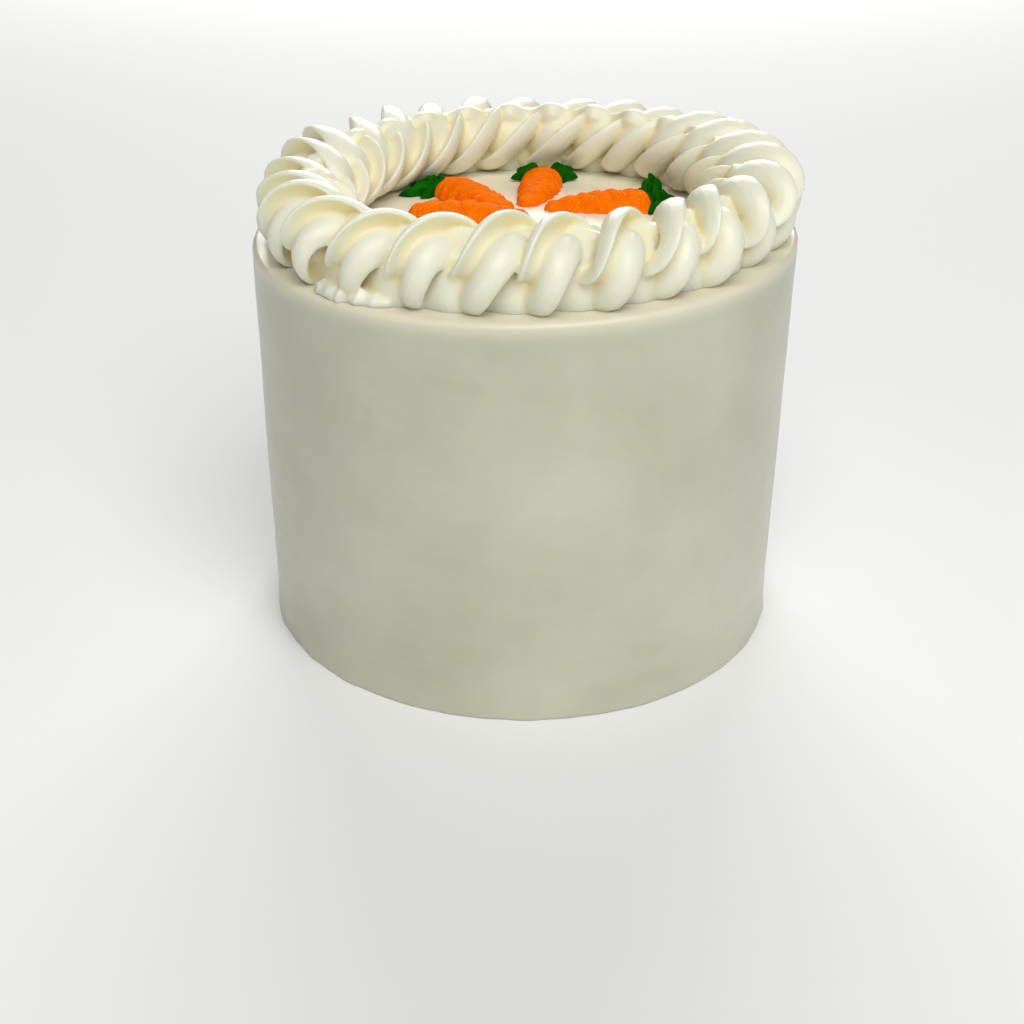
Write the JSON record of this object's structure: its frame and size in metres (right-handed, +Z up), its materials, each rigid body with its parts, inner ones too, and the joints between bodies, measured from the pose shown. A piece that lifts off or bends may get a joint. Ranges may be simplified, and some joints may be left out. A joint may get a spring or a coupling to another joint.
{
  "type": "carrot cake",
  "caption": "Tall round frosted carrot cake with a piped rope border around its top edge and small piped carrots inside the border.",
  "frame": {"origin": "middle of the flat underside, on the surface that the cake stands on", "axes": "+Z up along the cake's axis, -Y towards the viewer, +X to the viewer's right"},
  "size_m": [0.16, 0.16, 0.1496],
  "materials": {
    "frosting": "smooth ivory cream-cheese frosting with a soft waxy satin sheen",
    "border_frosting": "piped off-white cream frosting with a soft satin sheen",
    "carrot_icing": "piped orange icing, slightly grainy",
    "leaf_icing": "piped deep green icing, satin"
  },
  "bodies": {
    "root": {"frosted_cake": "frosting", "rope_border": "border_frosting", "carrot_right": "carrot_icing", "carrot_back": "carrot_icing", "carrot_back_left": "carrot_icing", "carrot_left": "carrot_icing", "leaves_right": "leaf_icing", "leaves_back_l": "leaf_icing", "leaves_back_r": "leaf_icing", "leaves_back_left": "leaf_icing", "leaves_left": "leaf_icing"}
  },
  "joints": []
}
